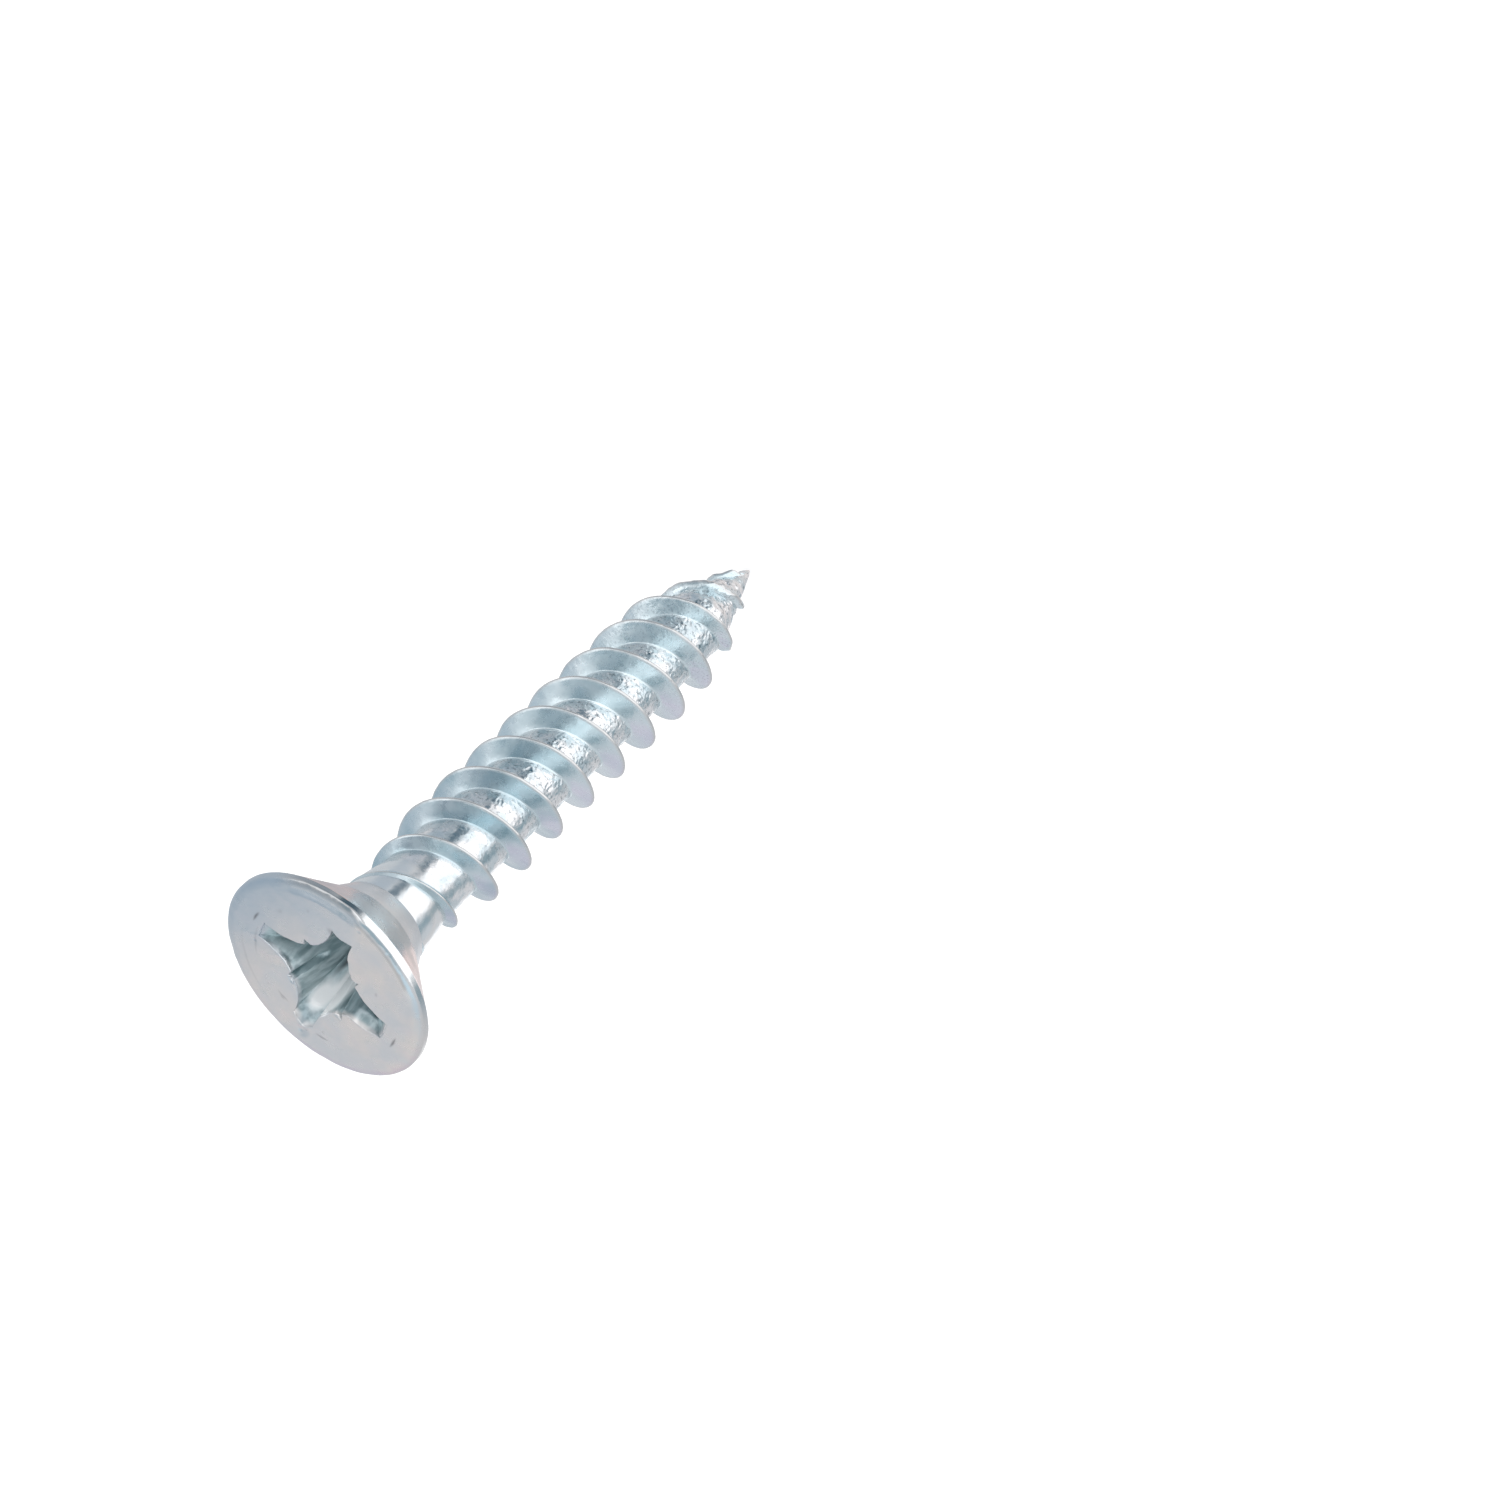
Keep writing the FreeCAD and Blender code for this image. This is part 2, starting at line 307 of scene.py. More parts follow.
def head_rings():
    """All the head's rings: recess, face, rim, countersink and the steep cone under it."""
    rings = recess_rings()
    mouth = rings.pop()
    mouth_angle = np.unwrap(np.arctan2(mouth[:, 1], mouth[:, 0]))
    even_angle = mouth_angle[0] + np.linspace(0, TAU, len(mouth), endpoint=False)
    outward = np.column_stack([np.cos(mouth_angle), np.sin(mouth_angle), np.zeros(len(mouth))])
    for turn in np.linspace(0, math.pi / 2, LIP_RINGS):
        ring = mouth + outward * MOUTH_EDGE * (1 - math.cos(turn))
        ring[:, 2] = -MOUTH_EDGE * (1 - math.sin(turn))
        rings.append(ring)
    inner = rings[-1]
    face_radius = HEAD_RADIUS - SHOULDER_REACH
    for share in np.linspace(0, 1, FACE_RINGS)[1:]:
        angle = mouth_angle + (even_angle - mouth_angle) * smooth_step(0.0, 0.8, share)
        radius = np.hypot(inner[:, 0], inner[:, 1])
        radius = radius + (face_radius - radius) * share
        rings.append(circle_ring(radius, 0.0, angle))
    for turn in np.linspace(0, math.pi / 2, SHOULDER_RINGS)[1:]:
        radius = face_radius + SHOULDER_REACH * math.sin(turn)
        rings.append(circle_ring(radius, SHOULDER_DROP * (1 - math.cos(turn)), even_angle))
    for depth in np.linspace(SHOULDER_DROP, RIM_DEPTH, RIM_RINGS)[1:]:
        rings.append(circle_ring(HEAD_RADIUS, depth, even_angle))
    for share in np.linspace(0, 1, SEAT_RINGS)[1:]:
        radius = HEAD_RADIUS + (SEAT_RADIUS - HEAD_RADIUS) * share
        depth = RIM_DEPTH + (SEAT_DEPTH - RIM_DEPTH) * share
        rings.append(circle_ring(radius, depth, even_angle))
    for share in np.linspace(0, 1, STEEP_RINGS)[1:]:
        radius = SEAT_RADIUS + (NECK_TOP_RADIUS - SEAT_RADIUS) * share
        depth = SEAT_DEPTH + (HEAD_DEPTH - SEAT_DEPTH) * share
        rings.append(circle_ring(radius, depth, even_angle))
    return np.array(rings)


def oval(points, x, y, long, short, turn):
    """A soft hill, 1 at its middle and 0 outside an oval, seen along the screw's axis."""
    angle = math.radians(turn)
    across = points[..., 0] - x
    up = points[..., 1] - y
    first = (across * math.cos(angle) + up * math.sin(angle)) / long
    second = (up * math.cos(angle) - across * math.sin(angle)) / short
    return 1 - smooth_step(0.0, 1.0, np.hypot(first, second))


def polar(points):
    """Distance from the screw's axis, and the angle round it in degrees."""
    angle = np.degrees(np.arctan2(points[..., 1], points[..., 0])) % 360
    return np.hypot(points[..., 0], points[..., 1]), angle


def worn_arc(angle):
    """1 along the stretch of the head's edge that is flattened by wear, 0 elsewhere."""
    return smooth_step(134, 144, angle) - smooth_step(168, 190, angle)


def head_marks(rings):
    """Per-vertex layers: stains with painted shade in the recess and a painted dark reflection
    band on the rim, pale matt painted highlights, depth in the recess, a polished rim that is
    also painted lighter as a highlight, cool tint.
    """
    reach, angle = polar(rings)
    stain_and_painted_shade = np.zeros_like(reach)
    for radius, start, stop, strength in ARC_MARKS:
        share = np.clip((angle - start) / (stop - start), 0, 1)
        window = np.sin(math.pi * share)
        stain_and_painted_shade += strength * window * np.exp(-(((reach - radius) / (0.02 + 0.025 * window)) ** 2))
    stain_and_painted_shade += sum(strength * oval(rings, *place) for *place, strength in SMUDGES_AND_SHADE)
    # Painted dark reflection: a dark band along the near rim's shoulder and darker metal on the
    # worn stretch of the rim.
    near_edge = smooth_step(92, 98, angle) - smooth_step(134, 140, angle)
    stain_and_painted_shade += 0.4 * smooth_step(3.66, 3.9, reach) * worn_arc(angle)
    stain_and_painted_shade += 0.3 * np.exp(-(((reach - 3.73) / 0.09) ** 2)) * near_edge
    # Painted highlights: pale matt patches in the recess.
    painted_highlight = sum(strength * oval(rings, *place) for *place, strength in PAINTED_HIGHLIGHTS)
    row = np.arange(len(rings))[:, None]
    inside = row < RECESS_END_ROW
    # The polished rim on this side is also painted lighter as a highlight.
    bright_side = smooth_step(80, 100, angle) - smooth_step(165, 190, angle)
    return {
        "stain_and_painted_shade": np.clip(stain_and_painted_shade, 0, 1) * (row <= RIM_END_ROW),
        "painted_highlight": np.clip(painted_highlight, 0, 1) * inside,
        "deep": smooth_step(0.05, 0.2, -rings[..., 2]) * inside,
        "polish_and_highlight": smooth_step(3.5, 3.8, reach) * bright_side * (row <= RIM_END_ROW),
        "cool": smooth_step(0.4, 4.2, -(0.9 * rings[..., 0] + 0.45 * rings[..., 1])),
    }


def build_head():
    """The head as one closed mesh with its recess, presses, dents and waves."""
    rings = head_rings()
    marks = head_marks(rings)
    reach, angle = polar(rings)
    shallow = smooth_step(-RIM_DEPTH, -0.05, rings[..., 2])
    drop = sum(fall * oval(rings, *place) for *place, fall in PRESSES)
    upper = np.clip(1 + rings[..., 2] / 0.42, 0, 1) * (reach < HEAD_RADIUS - 0.5)
    for *place, shift, heading in SPREADS:
        amount = shift * oval(rings, *place) * upper
        rings[..., 0] += amount * math.cos(math.radians(heading))
        rings[..., 1] += amount * math.sin(math.radians(heading))
    ragged = 0.015 * Field(0.6, 13)(rings) + 0.007 * Field(0.25, 14)(rings)
    mouth = smooth_step(-0.3, 0.0, rings[..., 2]) * (1 - smooth_step(2.6, 3.1, reach))
    push_out(rings, ragged * mouth)
    walls = 0.008 * Field(0.5, 15)(rings * [1, 1, 0.15]) * marks["deep"]
    push_out(rings, walls)
    drop = drop + 0.08 * smooth_step(3.46, 3.7, reach) * worn_arc(angle)
    waves = 0.007 * Field(1.1, 11)(rings) + 0.0015 * Field(0.22, 12)(rings)
    rings[..., 2] -= drop * shallow + np.abs(waves)
    return closed_rings("head_shell", rings, marks)


# ---------------------------------------------------------------- neck, core and point
def turned_rings(profile, columns):
    """Rings of a turned shape through (depth, radius) pairs."""
    angle = np.linspace(0, TAU, columns, endpoint=False)
    return np.array([circle_ring(radius, depth, angle) for depth, radius in profile])


# the neck, core and point as (depth, radius) pairs
BODY_PROFILE = [
    (HEAD_DEPTH, NECK_TOP_RADIUS),
    (NECK_DEPTH, NECK_RADIUS),
    (NECK_END, CORE_TOP_RADIUS),
    (CORE_DEPTH, CORE_END_RADIUS),
    (24.5, 0.42),
    (OVERALL - 0.14, 0.13),
    (OVERALL, 0.014),
]
# the surface that the thread's crests follow
CREST_PROFILE = [
    (2.9, 1.66),
    (3.6, 1.68),
    (4.2, 1.68),
    (4.9, 1.74),
    (5.5, 1.84),
    (6.1, 1.96),
    (6.9, MAJOR_RADIUS - 0.015),
    (18.9, MAJOR_RADIUS - 0.015),
    (20.2, 1.99),
    (21.2, 1.8),
    (21.9, 1.62),
    (22.8, 1.3),
    (23.6, 0.93),
    (24.3, 0.6),
    (24.8, 0.33),
]


def along(profile, depth):
    """The radius at a depth on a (depth, radius) profile, with its corners eased."""
    places, radii = np.array(profile).T
    offsets = np.array([-0.12, 0.0, 0.12])
    spread = np.asarray(depth)[..., None] + offsets
    return np.interp(spread, places, radii).mean(axis=-1)


def roughen(points):
    """How much the point's metal is torn and lumpy, rising from 0 above it to 1 at its tip."""
    return smooth_step(20.5, 23.5, -points[..., 2])


def crumple(points):
    """The rolled root's texture: shallow dents with sharp folds between them."""
    folds = 1 - np.abs(Field(0.6, 31)(points))
    small = 1 - np.abs(Field(0.24, 32)(points))
    rolled = smooth_step(4.5, 14.0, -points[..., 2])
    texture = 0.012 * folds + 0.007 * small + 0.002 * Field(0.1, 33)(points)
    torn = 0.022 * Field(0.5, 34)(points) * roughen(points)
    return (texture - 0.012) * (0.1 + 0.9 * rolled) + torn


def build_body(name, start, stop, columns):
    """A length of the neck, core or point between two depths."""
    steps = max(2, round((stop - start) / 0.035))
    depths = np.linspace(start, stop, steps)
    rings = turned_rings(zip(depths, along(BODY_PROFILE, depths)), columns)
    reach = np.hypot(rings[..., 0], rings[..., 1])
    push_out(rings, crumple(rings) * smooth_step(0.0, 0.7, reach))
    return closed_rings(name, rings)


# ---------------------------------------------------------------- thread
THREAD_START = 2.95
THREAD_END = 24.8
RIB_STEPS = 1500
MOUND_HALF = 0.42


def rib_section():
    """The rib's section: half thickness and share of the height, up one flank and down."""
    share = np.array([-0.05, 0.0, 0.008, 0.02, 0.04, 0.07, 0.3, 0.5, 0.7, 0.85, 0.97, 0.99])
    fillet = np.array([0.47, 0.43, 0.405, 0.38, 0.36, 0.345])
    flank = 0.345 - 0.29 * (share[6:11] - 0.07) / 0.9
    half = np.concatenate([fillet, flank, [0.035]])
    across = np.concatenate([half, [0.0], -half[::-1]])
    up = np.concatenate([share, [1.0], share[::-1]])
    return across, up


def build_rib(name, start_turn):
    """One thread rib: its section carried down the right-handed helix from neck to tip, where
    its sharp crest becomes a low rounded mound."""
    across, up = rib_section()
    columns = len(across)
    depth = np.linspace(THREAD_START, THREAD_END, RIB_STEPS)
    angle = -TAU * depth / LEAD + start_turn
    root = along(BODY_PROFILE, depth)
    height = np.maximum(along(CREST_PROFILE, depth) - root, 0.01)
    slim = np.clip(height / (MAJOR_RADIUS - CORE_END_RADIUS), 0.2, 1.0) ** 0.6
    radius = root[:, None] + up[None, :] * height[:, None]
    mound = MOUND_HALF * np.sign(across) * np.sqrt(1 - np.clip(up, 0, 1) ** 2)
    rounded = smooth_step(20.8, 23.2, depth)[:, None]
    axial = depth[:, None] - (across * (1 - rounded) + mound * rounded) * slim[:, None]
    turned = [radius * np.cos(angle)[:, None], radius * np.sin(angle)[:, None], -axial]
    points = np.stack(turned, axis=-1)
    share = np.broadcast_to(np.clip(up, 0, 1), radius.shape)
    wobble = 0.009 * Field(1.6, 41)(points) + 0.002 * Field(0.3, 42)(points)
    torn = 0.03 * Field(0.9, 43)(points) + 0.014 * Field(0.28, 44)(points)
    push_out(points, (wobble + torn * roughen(points)) * share)
    points[..., 2] += 0.03 * Field(0.9, 45)(points) * roughen(points) * share
    faces = []
    for row in range(RIB_STEPS - 1):
        for column in range(columns):
            after = (column + 1) % columns
            near = row * columns
            far = near + columns
            faces.append((near + column, near + after, far + after, far + column))
    faces.append(tuple(range(columns))[::-1])
    faces.append(tuple((RIB_STEPS - 1) * columns + column for column in range(columns)))
    marks = {"crest": smooth_step(0.95, 0.985, share)}
    return make_piece(name, points.reshape(-1, 3), faces, marks)


# ---------------------------------------------------------------- materials
class Plating:
    """A zinc plated surface built from noise patterns sized in millimetres."""

    def __init__(self, name):
        self.material = bpy.data.materials.new(name)
        self.material.use_nodes = True
        self.nodes = self.material.node_tree.nodes
        self.links = self.material.node_tree.links
        self.shader = self.nodes["Principled BSDF"]
        self.shader.inputs["Metallic"].default_value = 1.0
        self.place = self.nodes.new("ShaderNodeTexCoord").outputs["Object"]

    def feed(self, socket, value):
        """Set a socket to a number or colour, or link it to another node's output."""
        if isinstance(value, bpy.types.NodeSocket):
            self.links.new(value, socket)
        else:
            socket.default_value = value

    def noise(self, size, detail=3.0, stretch=(1, 1, 1)):
        """A cloudy pattern from 0 to 1 with lumps about size millimetres across."""
        mapping = self.nodes.new("ShaderNodeMapping")
        self.links.new(self.place, mapping.inputs["Vector"])
        mapping.inputs["Scale"].default_value = [1 / (MM * size * factor) for factor in stretch]
        pattern = self.nodes.new("ShaderNodeTexNoise")
        pattern.inputs["Scale"].default_value = 1.0
        pattern.inputs["Detail"].default_value = detail
        self.links.new(mapping.outputs["Vector"], pattern.inputs["Vector"])
        return pattern.outputs["Fac"]

    def remap(self, value, low, high, first, last):
        """Carry low..high eased to first..last, held at both ends."""
        node = self.nodes.new("ShaderNodeMapRange")
        node.interpolation_type = "SMOOTHSTEP"
        self.links.new(value, node.inputs["Value"])
        limits = {"From Min": low, "From Max": high, "To Min": first, "To Max": last}
        for name, number in limits.items():
            node.inputs[name].default_value = number
        return node.outputs["Result"]

    def math(self, operation, first, second):
        """A math node on two values."""
        node = self.nodes.new("ShaderNodeMath")
        node.operation = operation
        self.feed(node.inputs[0], first)
        self.feed(node.inputs[1], second)
        return node.outputs["Value"]

    def blend(self, share, first, second):
        """A colour between two colours."""
        node = self.nodes.new("ShaderNodeMix")
        node.data_type = "RGBA"
        self.links.new(share, node.inputs["Factor"])
        for name, colour in (("A", first), ("B", second)):
            socket = next(s for s in node.inputs if s.name == name and s.type == "RGBA")
            linked = isinstance(colour, bpy.types.NodeSocket)
            self.feed(socket, colour if linked else (*colour, 1.0))
        return next(s for s in node.outputs if s.type == "RGBA")

    def depth(self, start, stop, first, last):
        """A value that changes between two depths below the head face."""
        split = self.nodes.new("ShaderNodeSeparateXYZ")
        self.links.new(self.place, split.inputs["Vector"])
        return self.remap(split.outputs["Z"], -stop * MM, -start * MM, last, first)

    def layer(self, name):
        """A per-vertex layer of the mesh."""
        node = self.nodes.new("ShaderNodeAttribute")
        node.attribute_name = name
        return node.outputs["Fac"]

    def folds(self, size, width):
        """Hairline creases: 1 along thin winding lines and 0 between them."""
        centred = self.math("SUBTRACT", self.noise(size, 2.0), 0.5)
        return self.remap(self.math("ABSOLUTE", centred, 0.0), 0.0, width, 1.0, 0.0)

    def finish(self, colour, roughness, height, relief):
        """Join the colour, the roughness and a height pattern whose relief is in millimetres."""
        self.links.new(colour, self.shader.inputs["Base Color"])
        self.links.new(roughness, self.shader.inputs["Roughness"])
        bump = self.nodes.new("ShaderNodeBump")
        bump.inputs["Strength"].default_value = 1.0
        bump.inputs["Distance"].default_value = relief * MM
        self.links.new(height, bump.inputs["Height"])
        self.links.new(bump.outputs["Normal"], self.shader.inputs["Normal"])
        return self.material


def head_plating():
    """Softly clouded satin plating: warm in the middle, cool patches, a recess painted dark as
    shade with streaks, pale matt painted highlights in the recess, a polished rim painted lighter
    as a highlight, and stains with painted shade in the recess and a painted dark reflection band
    on the rim.
    """
    zinc = Plating("head_plating")
    clouds = zinc.remap(zinc.noise(2.4), 0.40, 0.60, 0.0, 1.0)
    colour = zinc.blend(clouds, (0.74, 0.72, 0.705), (0.665, 0.69, 0.71))
    colour = zinc.blend(zinc.layer("cool"), colour, (0.49, 0.57, 0.64))
    streaks = zinc.remap(zinc.noise(0.3, 3.0, (1, 1, 12)), 0.36, 0.64, 0.0, 1.0)
    # The recess is painted darker as shade, with streaks; the deep layer blends this painted
    # shade in.
    recess = zinc.blend(streaks, (0.31, 0.40, 0.42), (0.60, 0.69, 0.71))
    colour = zinc.blend(zinc.layer("deep"), colour, recess)
    # Painted highlight: pale colour and less metal where the recess should show bright
    # reflections.
    colour = zinc.blend(zinc.layer("painted_highlight"), colour, (0.93, 0.95, 0.96))
    # Painted highlight: the polished rim on the bright side is painted lighter.
    colour = zinc.blend(zinc.layer("polish_and_highlight"), colour, (0.82, 0.83, 0.83))
    # Arc marks and smudges, together with painted shade in the recess and a painted dark
    # reflection band on the rim.
    colour = zinc.blend(zinc.layer("stain_and_painted_shade"), colour, (0.10, 0.10, 0.11))
    highlight_matt = zinc.remap(zinc.layer("painted_highlight"), 0.0, 1.0, 1.0, 0.2)
    zinc.links.new(highlight_matt, zinc.shader.inputs["Metallic"])
    roughness = zinc.remap(zinc.noise(0.8, 5.0), 0.3, 0.7, 0.24, 0.40)
    worn = zinc.remap(zinc.layer("polish_and_highlight"), 0.0, 1.0, 1.0, 0.4)
    roughness = zinc.math("MULTIPLY", roughness, worn)
    roughness = zinc.math("ADD", roughness, zinc.math("MULTIPLY", zinc.layer("deep"), 0.12))
    grooves = zinc.math("MULTIPLY", zinc.math("MULTIPLY", streaks, zinc.layer("deep")), 0.4)
    height = zinc.math("ADD", zinc.noise(0.6, 4.0), grooves)
    return zinc.finish(colour, roughness, height, 0.009)


def neck_plating():
    """Smooth bright plating with faint clouds and a faint bump."""
    zinc = Plating("neck_plating")
    clouds = zinc.remap(zinc.noise(1.1), 0.4, 0.62, 0.0, 1.0)
    colour = zinc.blend(clouds, (0.84, 0.83, 0.82), (0.76, 0.80, 0.82))
    roughness = zinc.remap(zinc.noise(0.5, 4.0), 0.3, 0.7, 0.14, 0.28)
    return zinc.finish(colour, roughness, zinc.noise(0.6, 3.0), 0.006)


def core_plating():
    """Rolled roots: crumpled bright foil with dark specks, and hairline creases painted dark as
    shade.
    """
    zinc = Plating("core_plating")
    clouds = zinc.remap(zinc.noise(0.7), 0.4, 0.6, 0.0, 1.0)
    colour = zinc.blend(clouds, (0.88, 0.87, 0.87), (0.66, 0.73, 0.76))
    creases = zinc.folds(0.7, 0.01)
    specks = zinc.remap(zinc.noise(0.13, 5.0, (1, 1, 0.7)), 0.55, 0.68, 0.0, 1.0)
    # The hairline creases are painted dark as shade; the specks are dark flecks in the plating.
    marks = zinc.math("MAXIMUM", zinc.math("MULTIPLY", creases, 0.3), specks)
    marks = zinc.math("MULTIPLY", marks, zinc.depth(4.0, 12.0, 0.15, 0.75))
    colour = zinc.blend(marks, colour, (0.20, 0.23, 0.25))
    roughness = zinc.remap(zinc.noise(0.3, 4.0), 0.3, 0.7, 0.12, 0.34)
    fine = zinc.math("MULTIPLY", zinc.noise(0.15, 3.0), 0.5)
    height = zinc.math("ADD", zinc.noise(0.45, 4.0), fine)
    height = zinc.math("SUBTRACT", height, zinc.math("MULTIPLY", creases, 0.08))
    height = zinc.math("MULTIPLY", height, zinc.depth(4.0, 15.0, 0.15, 1.0))
    return zinc.finish(colour, roughness, height, 0.03)


def rib_plating():
    """Bluish bright flanks, paler further down, with fine dark pits and pale warm worn crests."""
    zinc = Plating("rib_plating")
    clouds = zinc.remap(zinc.noise(1.3), 0.36, 0.64, 0.0, 1.0)
    colour = zinc.blend(clouds, (0.50, 0.63, 0.68), (0.67, 0.76, 0.80))
    colour = zinc.blend(zinc.depth(8.5, 12.5, 0.0, 0.55), colour, (0.84, 0.92, 0.94))
    pits = zinc.remap(zinc.noise(0.07, 5.0), 0.52, 0.68, 0.0, 1.0)
    pitted = zinc.math("MULTIPLY", pits, zinc.depth(14.0, 22.5, 0.04, 0.55))
    colour = zinc.blend(pitted, colour, (0.27, 0.32, 0.35))
    colour = zinc.blend(zinc.layer("crest"), colour, (0.68, 0.675, 0.67))
    roughness = zinc.remap(zinc.noise(0.5, 4.0), 0.3, 0.7, 0.20, 0.36)
    fine = zinc.math("MULTIPLY", zinc.noise(0.12, 3.0), 0.2)
    height = zinc.math("ADD", zinc.noise(0.35, 4.0), fine)
    height = zinc.math("MULTIPLY", height, zinc.depth(14.0, 23.0, 0.5, 1.8))
    return zinc.finish(colour, roughness, height, 0.02)


# ---------------------------------------------------------------- studio
CAMERA_PLACE = Vector((-60.85, 75.92, 59.91)) * MM
CAMERA_AZIMUTH = math.radians(-48.54)
CAMERA_ELEVATION = math.radians(-39.20)
CAMERA_ROLL = math.radians(-135.52)
CAMERA_LENS = 84.0
DOME_STRENGTH = 1.15
FLOOR_HALF = 3.0


def build_camera():
    """The camera above and beside the head, rolled so that the screw points up to the right."""
    data = bpy.data.cameras.new("camera")
    data.lens = CAMERA_LENS
    data.sensor_width = 36.0
    data.clip_start = 0.001
    data.clip_end = 20.0
    camera = bpy.data.objects.new("camera", data)
    bpy.context.scene.collection.objects.link(camera)
    level = math.cos(CAMERA_ELEVATION)
    forward = Vector(
        (
            level * math.cos(CAMERA_AZIMUTH),
            level * math.sin(CAMERA_AZIMUTH),
            math.sin(CAMERA_ELEVATION),
        )
    )
    upright = forward.to_track_quat("-Z", "Y").to_matrix()
    roll = Matrix.Rotation(CAMERA_ROLL, 3, "Z")
    camera.matrix_world = Matrix.Translation(CAMERA_PLACE) @ (upright @ roll).to_4x4()
    bpy.context.scene.camera = camera


def build_floor():
    """A wide plain pale floor at the tip's level."""
    mesh = bpy.data.meshes.new("floor")
    signs = [(-1, -1), (1, -1), (1, 1), (-1, 1)]
    corners = [(x * FLOOR_HALF, y * FLOOR_HALF, -OVERALL * MM) for x, y in signs]
    mesh.from_pydata(corners, [], [(0, 1, 2, 3)])
    floor = bpy.data.objects.new("floor", mesh)
    bpy.context.scene.collection.objects.link(floor)
    material = bpy.data.materials.new("pale_floor")
    material.use_nodes = True
    shader = material.node_tree.nodes["Principled BSDF"]
    shader.inputs["Base Color"].default_value = (0.88, 0.88, 0.88, 1.0)
    shader.inputs["Roughness"].default_value = 0.9
    shader.inputs["Emission Color"].default_value = (1.0, 1.0, 1.0, 1.0)
    shader.inputs["Emission Strength"].default_value = 0.25
    mesh.materials.append(material)
    floor.visible_glossy = False


# What the polished metal reflects: a grey tent with white panels and darker gaps. Each panel has
# an azimuth and elevation, its half width and half height, the softness of its edges, all in
# degrees, and its RGB change.
TENT_COLOUR = (0.68, 0.70, 0.73)
TENT_PANELS = [
    (108, -2, 36, 58, 5, (0.70, 0.70, 0.70)),
    (-30, -38, 12, 14, 7, (0.50, 0.50, 0.50)),
    (160, -36, 11, 16, 5, (-0.48, -0.44, -0.42)),
    (180, -4, 24, 26, 8, (-0.26, -0.22, -0.20)),
    (-155, -38, 22, 14, 8, (-0.16, -0.13, -0.10)),
    (50, -36, 11, 20, 7, (-0.34, -0.27, -0.25)),
    (0, 90, 180, 19, 8, (-0.31, -0.22, -0.18)),
    (-85, 42, 26, 22, 10, (-0.18, -0.13, -0.09)),
    (-158, 54, 32, 11, 6, (0.66, 0.66, 0.66)),
    (-50, 34, 24, 13, 8, (0.12, 0.09, 0.06)),
    (-5, 58, 30, 10, 8, (-0.02, 0.12, 0.20)),
    (-32, 10, 18, 14, 8, (0.02, -0.06, 0.00)),
    (0, -90, 180, 28, 12, (0.16, 0.11, 0.08)),
    (-52, -50, 22, 10, 6, (0.08, -0.08, -0.12)),
]


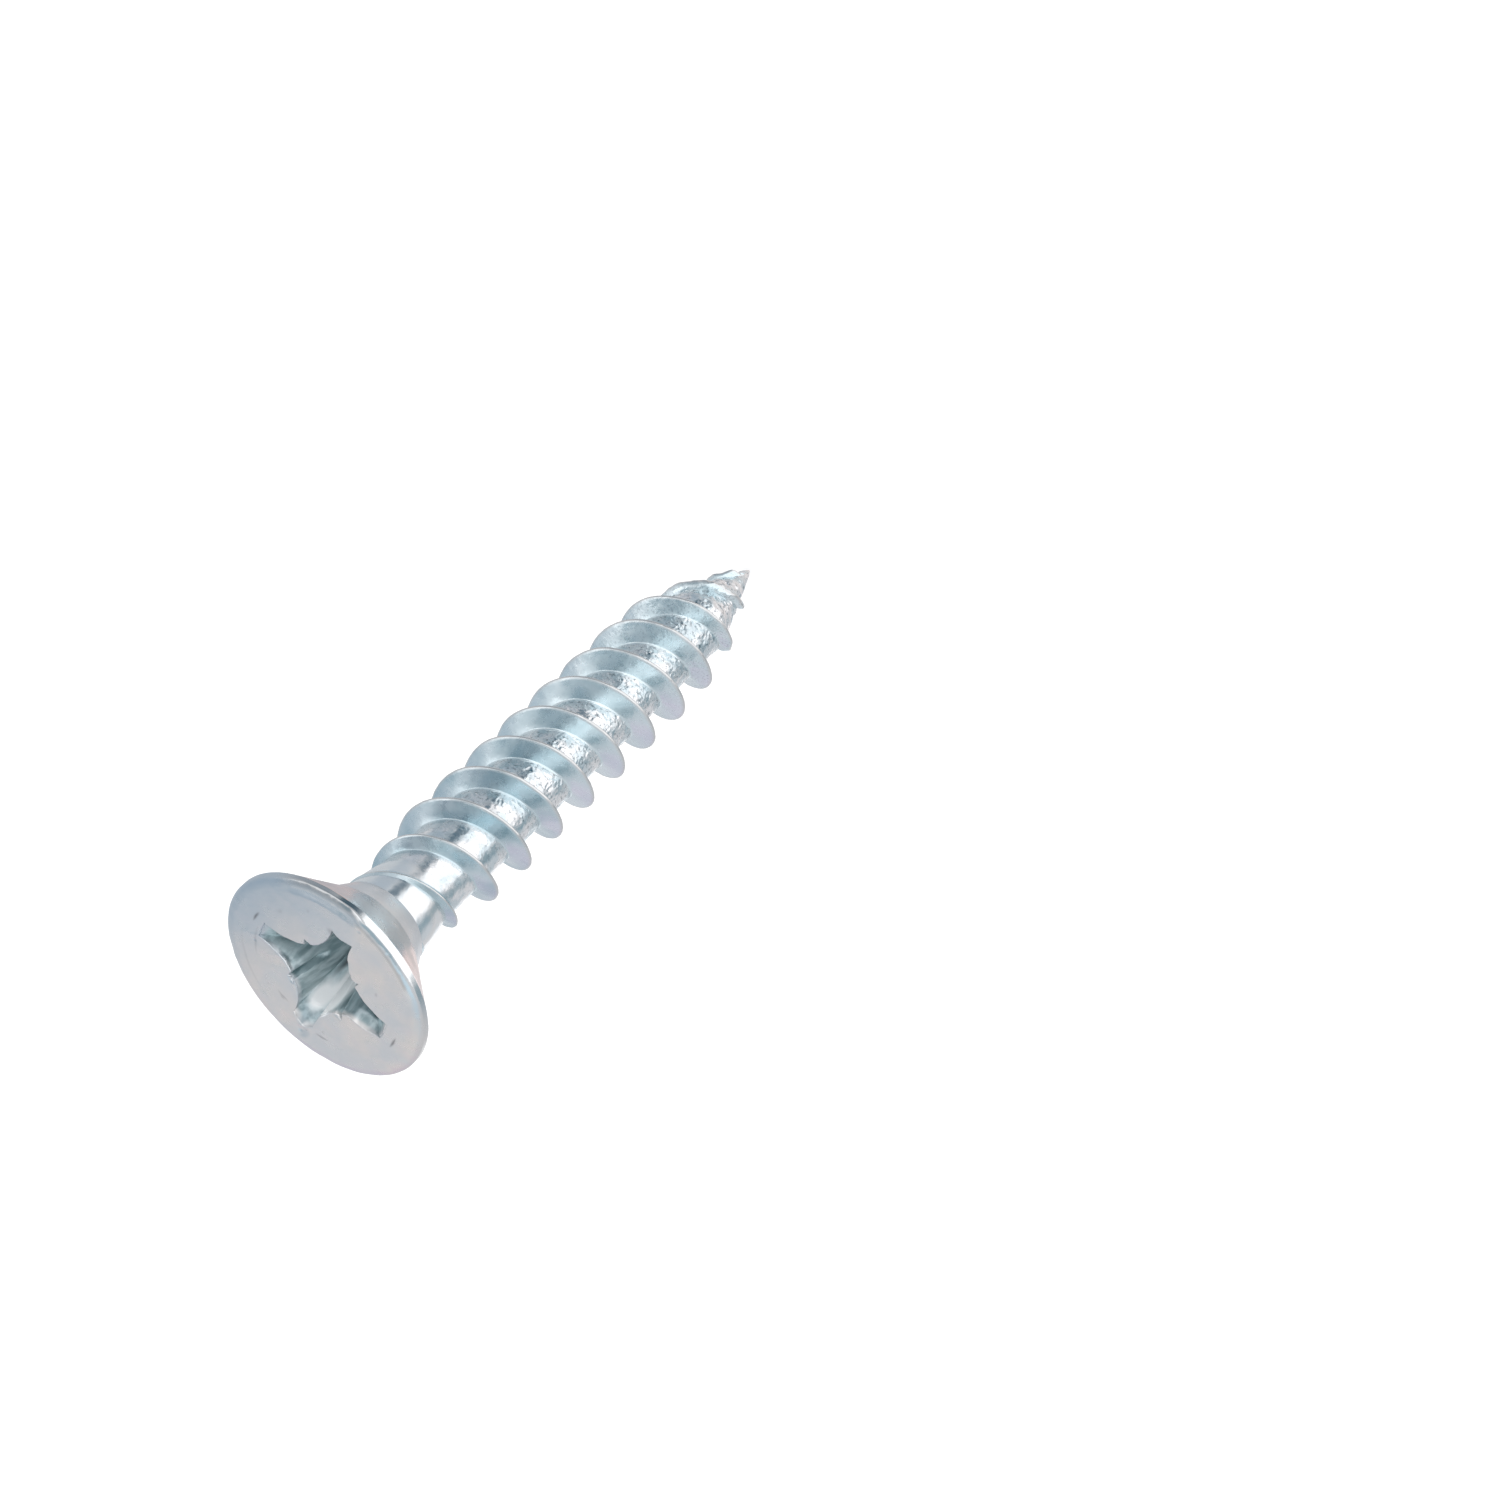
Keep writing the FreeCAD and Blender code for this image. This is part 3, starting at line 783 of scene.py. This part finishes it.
class Sky:
    """Node helpers for the world, whose background is worked out from the ray's direction."""

    def __init__(self, world):
        self.nodes = world.node_tree.nodes
        self.links = world.node_tree.links

    def math(self, kind, operation, first, second=None):
        """The output of a math or vector math node on linked or fixed inputs."""
        node = self.nodes.new(kind)
        node.operation = operation
        for socket, value in zip(node.inputs, (first, second)):
            if isinstance(value, bpy.types.NodeSocket):
                self.links.new(value, socket)
            elif value is not None:
                socket.default_value = value
        scalar = kind == "ShaderNodeMath" or operation == "DOT_PRODUCT"
        return node.outputs["Value" if scalar else "Vector"]

    def window(self, value, outside, inside):
        """0 at the outside value and 1 at the inside value, eased between."""
        soft = self.nodes.new("ShaderNodeMapRange")
        soft.interpolation_type = "SMOOTHSTEP"
        soft.inputs["From Min"].default_value = outside
        soft.inputs["From Max"].default_value = inside
        self.links.new(value, soft.inputs["Value"])
        return soft.outputs["Result"]

    def tint(self, share, change, colour):
        """The colour changed by a share of an RGB change."""
        patch = self.nodes.new("ShaderNodeVectorMath")
        patch.operation = "MULTIPLY_ADD"
        patch.inputs[0].default_value = change
        self.links.new(share, patch.inputs[1])
        if isinstance(colour, bpy.types.NodeSocket):
            self.links.new(colour, patch.inputs[2])
        else:
            patch.inputs[2].default_value = colour
        return patch.outputs["Vector"]

    def tent(self):
        """The colour of the tent in the ray's direction, panel by panel."""
        direction = self.nodes.new("ShaderNodeTexCoord").outputs["Generated"]
        split = self.nodes.new("ShaderNodeSeparateXYZ")
        self.links.new(direction, split.inputs["Vector"])
        height = self.math("ShaderNodeMath", "ARCSINE", split.outputs["Z"])
        level = self.math("ShaderNodeVectorMath", "MULTIPLY", direction, (1, 1, 0))
        heading = self.math("ShaderNodeVectorMath", "NORMALIZE", level)
        colour = TENT_COLOUR
        for azimuth, elevation, half_width, half_height, edge, change in TENT_PANELS:
            towards = (math.cos(math.radians(azimuth)), math.sin(math.radians(azimuth)), 0)
            facing = self.math("ShaderNodeVectorMath", "DOT_PRODUCT", heading, towards)
            limits = [math.cos(math.radians(half_width + side)) for side in (edge, -edge)]
            sideways = self.window(facing, *limits) if half_width < 180 else 1.0
            offset = self.math("ShaderNodeMath", "SUBTRACT", height, math.radians(elevation))
            away = self.math("ShaderNodeMath", "ABSOLUTE", offset)
            limits = [math.radians(half_height + side) for side in (edge, -edge)]
            upright = self.window(away, *limits)
            soft = self.math("ShaderNodeMath", "MULTIPLY", sideways, upright)
            colour = self.tint(soft, change, colour)
        return colour


def build_light():
    """A white dome that lights everything, and the patterned tent that glossy metal reflects."""
    world = bpy.data.worlds.new("studio")
    world.use_nodes = True
    bpy.context.scene.world = world
    sky = Sky(world)
    dome = sky.nodes["Background"]
    dome.inputs["Color"].default_value = (1.0, 1.0, 1.0, 1.0)
    dome.inputs["Strength"].default_value = DOME_STRENGTH
    tent = sky.nodes.new("ShaderNodeBackground")
    sky.links.new(sky.tent(), tent.inputs["Color"])
    ray = sky.nodes.new("ShaderNodeLightPath")
    choice = sky.nodes.new("ShaderNodeMixShader")
    sky.links.new(ray.outputs["Is Glossy Ray"], choice.inputs["Fac"])
    sky.links.new(dome.outputs["Background"], choice.inputs[1])
    sky.links.new(tent.outputs["Background"], choice.inputs[2])
    sky.links.new(choice.outputs["Shader"], sky.nodes["World Output"].inputs["Surface"])
    bpy.context.scene.view_settings.view_transform = "Standard"


# ---------------------------------------------------------------- assembly
def main():
    """Build every piece, ride it on the screw's one body and set up the studio."""
    build_camera()
    build_floor()
    build_light()
    head_zinc = head_plating()
    neck_zinc = neck_plating()
    core_zinc = core_plating()
    rib_zinc = rib_plating()
    neck = build_body("neck_shell", HEAD_DEPTH - 0.04, NECK_END + 0.03, 256)
    core = build_body("core_shell", NECK_END - 0.03, CORE_DEPTH + 0.03, 256)
    point = build_body("point_shell", CORE_DEPTH - 0.03, OVERALL, 160)
    pieces = [
        (build_head(), "head", "head_zinc", head_zinc),
        (neck, "neck", "shank_zinc", neck_zinc),
        (core, "shank_core", "shank_zinc", core_zinc),
        (point, "point", "shank_zinc", core_zinc),
        (build_rib("thread_rib_a_shell", 0.0), "thread_rib_a", "thread_zinc", rib_zinc),
        (build_rib("thread_rib_b_shell", math.pi), "thread_rib_b", "thread_zinc", rib_zinc),
    ]
    for piece, node, slot, plating in pieces:
        piece.data.materials.append(plating)
        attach(piece, "root")
        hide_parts(node)


main()
